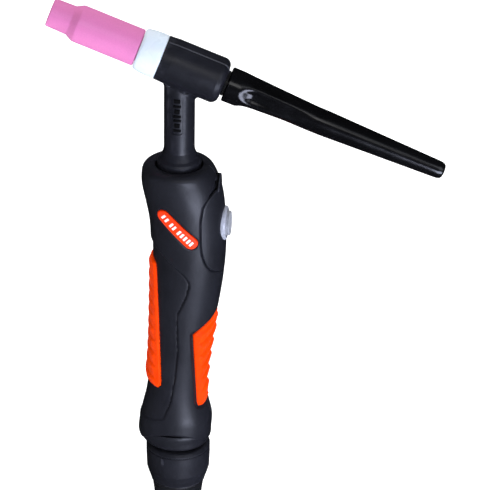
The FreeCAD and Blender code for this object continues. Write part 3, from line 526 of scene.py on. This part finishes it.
def flutes(radius, height, angle):
    """Five scoops between straight ridges, which start at the band's radius and run out along the shaft."""
    if height > -CAP_BAND_END or radius < 5.5:
        return radius
    crest = (0.5 + 0.5 * math.cos(5 * (angle - CAP_PHASE))) ** 1.7
    ridge_radius = CAP_BAND_R - CAP_TAPER * min(1.0, (-height - CAP_BAND_END) / CAP_TAPER_RUN) ** 0.9
    floor_radius = 6.15 + 0.25 * ease((-height - 45.0) / 25.0)
    entry = ease((-height - CAP_BAND_END - 2.0 * crest) / 7.0)
    scooped = floor_radius + (ridge_radius - floor_radius) * crest
    return min(ridge_radius, radius) * (1.0 - entry) + scooped * entry if height > -71.0 else radius


cap_profile = [
    (1.9, -10.0), (4.4, -10.0), (4.93, -10.6), (4.93, -22.5), (5.25, -22.5), (5.25, -24.9), (8.3, -24.9),
    (8.75, -25.35)
]
cap_profile += [(8.72, -27.0), (8.7, -29.0), (8.68, -31.0)]
cap_profile += [
    (CAP_BAND_R - CAP_TAPER * min(1.0, 0.65 * k / CAP_TAPER_RUN) ** 0.9, -CAP_BAND_END - 0.65 * k)
    for k in range(62)
]
cap_profile += [(6.38 - (6.38 - 4.35) * (k / 14), -76.0 - 59.0 * k / 14) for k in range(15)]
cap_profile += [(4.2, -136.3), (3.8, -137.5), (3.0, -138.2), (1.8, -138.5), (0.0, -138.5)]
cap_profile += [(0.0, -134.5), (1.9, -132.5)]
back_cap = lathe("long_back_cap", cap_profile, HEAD, FINISH["cap_black"], 160, True, flutes, 28.0)
settle(back_cap, "cap", "cap_black", "back_cap")

ring_path = [
    (5.3 + 0.6 + 0.6 * math.cos(a), -24.1 + 0.6 * math.sin(a))
    for a in [2 * math.pi * k / 16 for k in range(16)]
]
seal = lathe("back_cap_seal", ring_path, HEAD, FINISH["seal_rubber"], 96, True)
settle(seal, "cap_travel", "seal_rubber", "back_cap_o_ring")


def ridge(name, points, width, height, turn_deg, material):
    """A low rounded ridge along (radius, distance) points, in a plane turned about the head's axis."""
    path = [HEAD @ Vector((r * MM, 0.0, s * MM)) for r, s in points]
    vertices = []
    for i, point in enumerate(path):
        along = (path[min(i + 1, len(path) - 1)] - path[max(i - 1, 0)]).normalized()
        outward = along.cross(Vector((0.0, 1.0, 0.0)))
        if outward.dot(point - HEAD @ Vector((0.0, 0.0, points[i][1] * MM))) < 0:
            outward = -outward
        half = ((-1.0, -0.15), (-0.6, 0.7 * height), (0.0, height), (0.6, 0.7 * height), (1.0, -0.15))
        for y, lift in [(width * place, lift) for place, lift in half]:
            vertices.append(point + Vector((0.0, y * MM, 0.0)) + outward * lift * MM)
    turn = HEAD @ Matrix.Rotation(math.radians(turn_deg), 4, "Z") @ HEAD.inverted()
    return new_mesh(name, [turn @ v for v in vertices], grid_faces(len(path), 5, False, True), material, 80.0)


for side, label in ((1.0, "top"), (-1.0, "under")):
    line = [(11.3, 8.8), (11.5, 4.3)] + [(11.5, 4.0 - 2.0 * k) for k in range(12)]
    line += [
        (7.9 + 3.6 * math.cos(a), -19.7 - 3.6 * math.sin(a))
        for a in [math.radians(9 * k) for k in range(1, 11)]
    ]
    line += [(7.0, -23.3), (6.2, -23.3)]
    if side < 0:
        line = [(r, s) for r, s in line if s < -8.0]
    turned = -18.0 if side > 0 else 0.0
    line = [(side * r, s) for r, s in line]
    # The ridges are coloured lighter than the head: a painted highlight along the parting line.
    seam = ridge(f"head_parting_{label}", line, 0.42, 0.30, turned, FINISH["seam_painted_highlight"])
    settle(seam, "torch", "head_black")


# Low end, high end and half width of each bar.
NECK_BARS = (
    (101.5, 102.7, 1.9), (103.7, 105.9, 1.3), (106.9, 108.1, 1.9), (109.1, 110.3, 1.9),
    (111.3, 113.5, 1.3), (114.5, 115.7, 1.9), (116.9, 118.9, 1.5),
)


def neck_bars():
    """Plain raised bars in the neck's recess."""
    vertices, faces = [], []
    for low, high, half in NECK_BARS:
        start = len(vertices)
        for z in (low, high):
            for step in range(7):
                x = half * (step / 3 - 1)
                y = math.sqrt(NECK_R ** 2 - x * x)
                vertices += [(x * MM, -(y - 0.2) * MM, z * MM), (x * MM, -(y + 0.5) * MM, z * MM)]
        for step in range(6):
            a = start + 2 * step
            b = a + 14
            faces += [
                (a + 1, a + 3, b + 3, b + 1), (a, a + 2, a + 3, a + 1), (b + 1, b + 3, b + 2, b),
                (a, b, b + 2, a + 2)
            ]
        faces += [
            (start, start + 1, start + 15, start + 14), (start + 12, start + 26, start + 27, start + 13)
        ]
    return new_mesh("neck_bars", vertices, faces, FINISH["gap_shade_and_label_black"])


settle(soften(neck_bars(), 0.12), "torch", "head_black")


# ---- handle ----------------------------------------------------------------------------------------

# The handle's cross-sections: height, reach to the front, reach to the rear, half depth.
SECTIONS = np.array((
    (-77.4, 16.9, 15.7, 16.0), (-76.0, 18.4, 16.4, 16.6), (-73.4, 19.95, 16.8, 16.8),
    (-69.0, 20.0, 17.0, 16.5), (-64.0, 19.7, 17.4, 16.4), (-58.0, 18.8, 16.2, 16.0),
    (-48.0, 17.2, 14.6, 15.5), (-35.0, 15.6, 14.8, 15.3), (-20.0, 14.6, 16.6, 15.4),
    (-5.0, 14.2, 18.9, 15.6), (10.0, 14.0, 21.3, 15.8), (24.0, 13.9, 23.0, 16.1),
    (38.0, 14.0, 23.7, 16.4), (52.0, 14.8, 23.3, 16.8), (66.0, 17.6, 21.9, 17.2),
    (73.0, 18.6, 20.0, 17.2), (77.0, 18.4, 18.2, 17.0), (79.4, 17.4, 16.6, 16.4),
    (80.8, 15.4, 15.2, 14.8),
))
POWER = 2.15
# Outlines in the handle's middle plane, (x, z).
FRONT_PAD = (
    (-30.0, 29.0), (-14.0, 29.8), (-12.4, 29.6), (-11.2, 28.4), (-10.7, 26.0), (-7.3, -37.5),
    (-7.6, -40.2), (-9.0, -41.6), (-14.0, -40.4), (-30.0, -39.0),
)
REAR_PAD = (
    (30.0, 3.4), (20.0, 0.6), (17.6, -2.2), (10.1, -7.9), (9.6, -8.8), (11.7, -50.2), (12.4, -52.8),
    (14.0, -53.5), (16.5, -52.4), (30.0, -49.0),
)
COVER = (
    (30.0, 71.5), (19.8, 70.6), (16.6, 68.2), (14.3, 64.0), (13.2, 56.5), (13.2, 43.5), (14.0, 37.6),
    (15.1, 33.6), (16.8, 30.0), (18.2, 28.0), (19.9, 26.7), (21.6, 25.8), (22.8, 24.4), (24.0, 22.4),
    (30.0, 20.0),
)
RECESS = (
    (-40.0, 46.0), (-16.0, 42.5), (-11.6, 39.8), (1.0, 29.8), (5.3, 26.0), (7.4, 22.9), (7.8, 20.0),
    (6.4, 13.5), (1.8, 2.6), (1.8, -7.1), (2.3, -18.9), (1.2, -31.5), (-1.2, -47.8), (-5.1, -59.1),
    (-11.0, -61.0), (-17.8, -61.8), (-40.0, -62.5),
)
NOTCH = ((16.6, 68.9), (17.6, 68.3), (19.2, 67.8), (24.0, 68.6), (24.0, 75.6), (18.9, 75.6), (18.4, 73.0))


def spline(values, at):
    """Natural cubic spline through the sections' values."""
    knots = SECTIONS[:, 0]
    gap = np.diff(knots)
    count = len(knots)
    system, right = np.eye(count), np.zeros(count)
    for i in range(1, count - 1):
        system[i, i - 1:i + 2] = gap[i - 1], 2 * (gap[i - 1] + gap[i]), gap[i]
        right[i] = 6 * ((values[i + 1] - values[i]) / gap[i] - (values[i] - values[i - 1]) / gap[i - 1])
    bend = np.linalg.solve(system, right)
    k = np.clip(np.searchsorted(knots, at) - 1, 0, count - 2)
    a, b, h = knots[k + 1] - at, at - knots[k], gap[k]
    return (
        bend[k] * a ** 3 / (6 * h) + bend[k + 1] * b ** 3 / (6 * h)
        + (values[k] / h - bend[k] * h / 6) * a + (values[k + 1] / h - bend[k + 1] * h / 6) * b
    )


def base_point(angle, z):
    """A point of the plain handle's surface."""
    left, right, depth = (spline(SECTIONS[:, c], z) for c in (1, 2, 3))
    cosine, sine = np.cos(angle), np.sin(angle)
    x = (right - left) / 2 + (right + left) / 2 * np.sign(cosine) * np.abs(cosine) ** (2 / POWER)
    y = depth * np.sign(sine) * np.abs(sine) ** (2 / POWER)
    return np.stack([x, y, z], axis=-1)


def side_depth(x, z):
    """How far the handle's surface is from its middle plane at (x, z)."""
    left, right, depth = (spline(SECTIONS[:, c], z) for c in (1, 2, 3))
    across = np.clip(np.abs((x - (right - left) / 2) / ((right + left) / 2)), 0, 0.999)
    return depth * (1 - across ** POWER) ** (1 / POWER)


def signed(polygon, x, z):
    """Distance to a closed outline, negative inside."""
    best = np.full(x.shape, 1e9)
    inside = np.zeros(x.shape, bool)
    count = len(polygon)
    for i in range(count):
        (ax, az), (bx, bz) = polygon[i], polygon[(i + 1) % count]
        dx, dz = bx - ax, bz - az
        t = np.clip(((x - ax) * dx + (z - az) * dz) / (dx * dx + dz * dz), 0, 1)
        best = np.minimum(best, np.hypot(x - ax - t * dx, z - az - t * dz))
        if az != bz:
            crossing = ((az > z) != (bz > z)) & (x < dx * (z - az) / dz + ax)
            inside ^= crossing
    return np.where(inside, -best, best)


def step_up(value, start, end):
    t = np.clip((value - start) / (end - start), 0, 1)
    return t * t * (3 - 2 * t)


def badge_distance(x, z):
    """Distance to the badge's pill outline, negative inside."""
    dx, dz = x - BADGE_X, z - BADGE_Z
    along = dx * math.cos(BADGE_TURN) + dz * math.sin(BADGE_TURN)
    across = -dx * math.sin(BADGE_TURN) + dz * math.cos(BADGE_TURN)
    return np.hypot(np.maximum(np.abs(along) - BADGE_HALF_RUN, 0), across) - BADGE_R


def lower_edge(angle):
    """The handle's lower edge arches: lower in front and behind than at its two sides."""
    cosine = np.cos(angle)
    return -68.5 - np.where(cosine < 0, 8.9, 7.1) * cosine ** 2


def body_height(x, y, z, angle):
    """The handle halves: recess, pockets for pads and badge, cover groove, notch, parting line and rim."""
    recess = signed(RECESS, x, z)
    height = -1.05 * step_up(-recess, -0.2, 0.55) - 0.3 * np.exp(-((recess + 0.35) / 0.4) ** 2)
    height *= 1.0 - 0.55 * step_up(-z, 48.0, 60.0)
    for outline in (FRONT_PAD, REAR_PAD):
        edge = signed(outline, x, z)
        height -= 1.1 * step_up(-edge, -0.35, 0.25)
    rear = signed(REAR_PAD, x, z)
    height -= 0.9 * np.exp(-((rear - 0.6) / 0.6) ** 2) * step_up(-z, 6.0, 10.0)
    cover = signed(COVER, x, z)
    height -= 0.75 * np.exp(-((cover + 0.1) / 0.4) ** 2) + 1.0 * step_up(-cover, 0.1, 0.7)
    height -= 0.9 * step_up(-badge_distance(x, z), -0.45, 0.1)
    height -= 1.5 * step_up(-signed(NOTCH, x, z), -0.2, 0.5) * step_up(np.abs(y), 1.6, 2.6)
    seam = np.minimum(np.abs(np.sin(angle)), 1.0) * 14.0
    height -= 0.22 * np.exp(-(seam / 0.3) ** 2)
    rim = np.clip((z - lower_edge(angle)) / 1.5, 0, 1)
    height += 0.15 * step_up(-z, 64.0, 69.0) - 1.45 * (1 - np.sqrt(1 - (1 - rim) ** 2))
    return height


def scales(z, across, first, pitch, slant):
    """Overlapping scales: each steps out at its upper edge and sinks back towards its lower end."""
    t = np.mod((first - z + slant * across) / pitch, 1.0)
    return np.where(t < 0.28, np.sin(t / 0.28 * math.pi / 2), 1.0 - (np.maximum(t - 0.28, 0.0) / 0.72) ** 1.2)


def pad_height(outline, first, pitch, slant, swell):
    """A grip pad: a domed edge and a field of scales."""
    def height(x, y, z, angle):
        edge = signed(outline, x, z)
        inward = np.clip(-edge / 1.0, 0, 1)
        dome = np.sqrt(1 - (1 - inward) ** 2)
        across = np.abs(np.sin(angle))
        wrap = step_up(np.abs(np.cos(angle)), 0.35, 0.95)
        rib = scales(z, across, first, pitch, slant) * step_up(-edge, 1.2, 3.2)
        return -1.1 - 0.5 * step_up(edge, 0.0, 0.5) + dome * (
            1.45 + 0.25 * wrap + swell * (rib - 0.35) * (0.45 + 0.55 * wrap)
        )
    return height


def cover_height(x, y, z, angle):
    """The switch cover, flush with the handle and rounded along its edge."""
    edge = signed(COVER, x, z)
    inward = np.clip(-edge / 0.7, 0, 1)
    return -0.75 * (1 - np.sqrt(1 - (1 - inward) ** 2)) - 1.2 * step_up(edge, -0.05, 0.3)


def skin(name, angles, heights, height_function, keep, material, lips=False, edit=None):
    """A piece of the handle's surface, raised or lowered by a height, as a closed sheet of wall."""
    a, z = np.meshgrid(angles, heights)
    if lips:
        z = np.where(z < -40.0, -40.0 + (z + 40.0) * (lower_edge(a) + 40.0) / (heights[-1] + 40.0), z)
    base = base_point(a, z)
    across, down = np.gradient(base, axis=1), np.gradient(base, axis=0)
    normal = np.cross(across, down)
    normal /= np.linalg.norm(normal, axis=-1, keepdims=True)
    centre = np.zeros_like(base)
    centre[..., 0] = (base[..., 0].max(axis=1) + base[..., 0].min(axis=1))[:, None] / 2
    outward = base - centre
    outward[..., 2] = 0
    flip = np.sign((normal * outward).sum(axis=-1, keepdims=True))
    normal *= np.where(flip == 0, 1, flip)
    x, y = base[..., 0], base[..., 1]
    points = base + normal * height_function(x, y, z, a)[..., None]
    if edit is not None:
        points = edit(points, x, z)
    kept = keep(x, y, z)
    if lips:
        ring = []
        for mixed, radius, level in (
            (0.5, 13.6, 81.0), (1.0, 12.4, 81.0), (1.0, 11.95, 80.75), (1.0, 11.8, 80.2), (1.0, 11.8, 72.0)
        ):
            circle = np.stack(
                [radius * np.cos(angles), radius * np.sin(angles), np.full_like(angles, level)], axis=-1
            )
            row = points[0] * (1 - mixed) + circle * mixed
            row[:, 2] = level
            ring.append(row)
        points = np.concatenate([np.array(ring[::-1]), points])
        kept = np.concatenate([np.ones((len(ring), len(angles)), bool), kept])
    rows, columns = kept.shape
    flat = kept.reshape(-1)
    faces = [f for f in grid_faces(rows, columns) if flat[f[0]] and flat[f[1]] and flat[f[2]] and flat[f[3]]]
    piece = new_mesh(name, points.reshape(-1, 3) * MM, faces, material, 60.0)
    wall = piece.modifiers.new("wall", "SOLIDIFY")
    wall.thickness = WALL * MM
    wall.offset = -1.0
    return piece


def outside_cover(x, y, z):
    return signed(COVER, x, z) > -2.2


def screw_wells(points, x, z):
    """Two round wells in the far side for the screw heads."""
    for sx, sz in ((12.5, 12.0), (-11.0, -55.0)):
        gap = np.hypot(x - sx, z - sz)
        depth = step_up(-gap, -3.1, -2.7)
        points[..., 1] = points[..., 1] * (1 - depth) + np.minimum(points[..., 1], 12.7) * depth
    return points


rows = np.linspace(80.8, -77.0, 351)
near = skin(
    "handle_half_near", np.linspace(math.pi, 2 * math.pi, 121), rows, body_height, outside_cover,
    FINISH["handle_black"], True
)
settle(near, "torch", "handle_black", "handle_near")
far = skin(
    "handle_half_far", np.linspace(0, math.pi, 121), rows, body_height, outside_cover, FINISH["handle_black"],
    True, screw_wells
)
settle(far, "torch", "handle_black", "handle_far")

front = skin(
    "front_grip", np.linspace(math.pi * 0.62, math.pi * 1.38, 131), np.linspace(35.5, -43.0, 197),
    pad_height(FRONT_PAD, 29.0, 6.8, -5.0, 0.8), lambda x, y, z: signed(FRONT_PAD, x, z) < 0.3,
    FINISH["grip_orange"],
)
settle(front, "torch", "grip_orange", "front_grip_pad")
rear = skin(
    "rear_grip", np.linspace(-math.pi * 0.40, math.pi * 0.40, 131), np.linspace(5.0, -57.0, 157),
    pad_height(REAR_PAD, -7.6, 8.3, -10.0, 1.2), lambda x, y, z: signed(REAR_PAD, x, z) < 0.3,
    FINISH["grip_orange"],
)
settle(rear, "torch", "grip_orange", "rear_grip_pad")
cover_piece = skin(
    "switch_cover_shell", np.linspace(-math.pi * 0.38, math.pi * 0.38, 131), np.linspace(72.5, 23.0, 131),
    cover_height,
    lambda x, y, z: (signed(COVER, x, z) < 0.25) & (((z - BUTTON_Z) / 8.2) ** 2 + (y / 6.7) ** 2 > 1.0),
    FINISH["handle_black"],
)
settle(cover_piece, "torch", "handle_black", "switch_cover")


def badge_surface(along, across, side, height):
    """A point over the handle's side, given along and across the badge."""
    x = BADGE_X + along * math.cos(BADGE_TURN) - across * math.sin(BADGE_TURN)
    z = BADGE_Z + along * math.sin(BADGE_TURN) + across * math.cos(BADGE_TURN)
    return np.stack([x, side * (side_depth(x, z) + height), z], axis=-1)


def badge(name, side):
    """A plain pill-shaped plate with a rounded edge."""
    end = BADGE_HALF_RUN + BADGE_R
    along, across = np.meshgrid(np.linspace(-end, end, 141), np.linspace(-BADGE_R, BADGE_R, 41))
    past = np.maximum(np.abs(along) - BADGE_HALF_RUN, 0)
    across = across / BADGE_R * np.sqrt(np.maximum(BADGE_R ** 2 - past ** 2, 0))
    gap = np.clip((BADGE_R - np.hypot(past, across)) / 0.7, 0, 1)
    points = badge_surface(along, across, side, -0.75 + 1.15 * np.sqrt(1 - (1 - gap) ** 2))
    piece = new_mesh(name, points.reshape(-1, 3) * MM, grid_faces(*along.shape), FINISH["badge_red"], 60.0)
    wall = piece.modifiers.new("wall", "SOLIDIFY")
    wall.thickness = 0.5 * MM
    wall.offset = -1.0
    return piece


def badge_bars(name, side):
    """Plain short bars along the badge, in no script."""
    vertices, faces = [], []
    for place in (-9.6, -7.3, -4.0, -1.9, 1.4, 3.6, 5.8, 8.0, 10.0):
        start = len(vertices)
        for a in (place - 0.62, place + 0.62):
            for c in (-1.35, -0.45, 0.45, 1.35):
                for h in (0.25, 0.55):
                    vertices.append(badge_surface(np.array(a), np.array(c), side, h) * MM)
        for k in range(3):
            p, q = start + 2 * k, start + 8 + 2 * k
            faces += [
                (p + 1, p + 3, q + 3, q + 1), (p, q, q + 2, p + 2), (p, p + 2, p + 3, p + 1),
                (q, q + 1, q + 3, q + 2)
            ]
        faces += [(start, start + 1, start + 9, start + 8), (start + 6, start + 14, start + 15, start + 7)]
    return new_mesh(name, vertices, faces, FINISH["badge_white"])


for side, label in ((-1, "near"), (1, "far")):
    settle(badge(f"badge_plate_{label}", side), "torch", "badge_red", f"badge_{label}")
    settle(soften(badge_bars(f"badge_bars_{label}", side), 0.12), "torch", "badge_red")


def oval_loft(name, rings, material, closed, around=96):
    """A piece lofted through ovals on the button's axis, (x, half height, half width)."""
    vertices = []
    for x, tall, wide in rings:
        for step in range(around):
            angle = 2 * math.pi * step / around
            vertices.append((x * MM, wide * math.sin(angle) * MM, (BUTTON_Z + tall * math.cos(angle)) * MM))
    return new_mesh(name, vertices, grid_faces(len(rings), around, closed, True), material, 35.0)


bezel = oval_loft("button_frame", (
    (18.7, 6.85, 5.45), (18.7, 7.8, 6.3), (21.2, 7.9, 6.4), (21.3, 8.75, 7.25), (22.4, 8.95, 7.45),
    (23.5, 8.85, 7.35), (24.1, 8.5, 7.0), (24.3, 8.0, 6.5), (24.25, 7.6, 6.1), (23.6, 7.35, 5.85),
    (23.5, 6.85, 5.45),
), FINISH["button_grey"], True)
settle(bezel, "torch", "button_grey", "button_bezel")
press = oval_loft("button_cap", (
    (13.7, 0.0, 0.0), (13.7, 1.5, 1.5), (16.9, 1.5, 1.5), (16.9, 7.4, 5.9), (18.3, 7.4, 5.9),
    (18.3, 6.5, 5.1), (24.75, 6.5, 5.1), (24.85, 6.2, 4.8), (25.1, 6.2, 4.8), (25.2, 6.5, 5.1),
    (25.6, 6.45, 5.05), (25.9, 6.15, 4.75), (26.0, 5.7, 4.3), (25.9, 5.2, 3.8), (25.5, 4.8, 3.4),
    (25.3, 3.8, 2.4), (25.2, 0.0, 0.0),
), FINISH["button_cap_grey"], False)
settle(press, "button", "button_grey", "push_button")

# The return spring is squeezed between the button and the handle.
SPRING_BACK, SPRING_LENGTH, SPRING_R, SPRING_STEPS = 12.45, 3.9, 2.4, 84
coil_path = []
for k in range(SPRING_STEPS + 1):
    angle = k * math.pi / 12
    x, y = SPRING_BACK + SPRING_LENGTH * k / SPRING_STEPS, SPRING_R * math.cos(angle)
    coil_path.append(Vector((x * MM, y * MM, (BUTTON_Z + SPRING_R * math.sin(angle)) * MM)))
coil = tube("button_return_coil", coil_path, 0.28 * MM, FINISH["steel"])
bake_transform(coil)
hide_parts("button_spring")


def upright_lip(name, outer, slimmer, thickness, material):
    """A thin pointed lip above the switch cover, standing off the handle."""
    vertices = []
    for row in range(15):
        t = row / 14
        half = max(0.2, 5.4 * (1 - t ** 1.7) + 0.25 - slimmer)
        for column in range(13):
            y = half * (column / 6 - 1)
            vertices.append(((outer - 0.5 * t * t - 0.0275 * y * y) * MM, y * MM, (68.9 + 8.2 * t) * MM))
    lip = new_mesh(name, vertices, grid_faces(15, 13), material, 50.0)
    wall = lip.modifiers.new("wall", "SOLIDIFY")
    wall.thickness = thickness * MM
    wall.offset = -1.0
    return lip


settle(upright_lip("cover_lip", 21.3, 0.0, 0.75, FINISH["handle_black"]), "torch", "handle_black")
# A narrower, thicker copy behind the lip in near-black: painted shade that fills the gap under the lip.
settle(upright_lip("cover_lip_shade_filler", 20.6, 0.9, 2.9, FINISH["gap_shade_and_label_black"]), "torch", "handle_black")


# ---- CAD nodes that stay: rounder edges -----------------------------------------------------------

for name, width in (
    ("head_cover", 0.35), ("end_ring", 0.4), ("swivel_collar", 0.3), ("swivel_ball", 0.25),
    ("cable_boot", 0.3), ("plug_pin", 0.25), ("handle_screws", 0.2)
):
    soften(NODES[name], width, 3, 30.0)


# ---- floor and light --------------------------------------------------------------------------------

FLOOR = CAD_BOX[0][2]


def add_floor():
    """A wide sheet that curves up far behind the object."""
    vertices = []
    lines = [(y, 0.0) for y in (-3.0, -1.0, 0.0, 1.5, 3.0)] + [
        (3.0 + 1.2 * math.sin(a), 1.2 - 1.2 * math.cos(a)) for a in (0.3, 0.6, 0.9, 1.2, 1.57)
    ]
    for y, z in lines:
        for x in (-4.0, -1.0, 1.0, 4.0):
            vertices.append((x, y, FLOOR - 0.0003 + z))
    material = surface("backdrop_white", (0.93, 0.93, 0.93), 0.9, 0.01, 1.0, 40.0, 0.02, specular=0.1)
    shader = material.node_tree.nodes["Principled BSDF"]
    shader.inputs["Emission Color"].default_value = (1.0, 1.0, 1.0, 1.0)
    shader.inputs["Emission Strength"].default_value = 0.55
    floor = new_mesh("backdrop", vertices, grid_faces(len(lines), 4), material, 60.0)
    floor.visible_glossy = False


def add_light(name, place, aim, size, power, colour=(1.0, 1.0, 1.0)):
    data = bpy.data.lights.new(name, "AREA")
    data.shape = "RECTANGLE"
    data.size, data.size_y = size
    data.energy = power
    data.color = colour
    lamp = bpy.data.objects.new(name, data)
    bpy.context.scene.collection.objects.link(lamp)
    lamp.location = place
    lamp.rotation_euler = (Vector(aim) - Vector(place)).to_track_quat("-Z", "Y").to_euler()
    return lamp


add_floor()
add_light("key", (1.15, -0.95, 0.85), (0.0, 0.0, 0.04), (0.8, 0.9), 4.6, (0.87, 0.91, 1.0))
add_light("low_card", (0.43, -0.70, -0.18), (0.0, 0.0, -0.03), (0.46, 0.40), 8.5, (0.74, 0.79, 1.0))
add_light("front", (0.35, -1.7, 1.3), (0.0, 0.0, 0.08), (0.9, 0.6), 5.0)
for unseen in (
    add_light("fill", (-1.5, -0.7, 0.9), (0.0, 0.0, 0.08), (0.5, 0.9), 4.5),
    add_light("overhead", (0.1, 0.5, 1.5), (0.0, 0.0, 0.1), (1.4, 1.0), 10.0),
    add_light("backdrop_wash", (0.0, 1.6, 1.8), (0.0, 1.3, FLOOR), (3.0, 1.6), 40.0),
):
    unseen.visible_glossy = False
world = bpy.data.worlds.new("studio")
world.use_nodes = True
world.node_tree.nodes["Background"].inputs["Color"].default_value = (0.95, 0.97, 1.0, 1.0)
world.node_tree.nodes["Background"].inputs["Strength"].default_value = 0.30
world.cycles_visibility.glossy = False
bpy.context.scene.world = world
bpy.context.scene.view_settings.view_transform = "Standard"
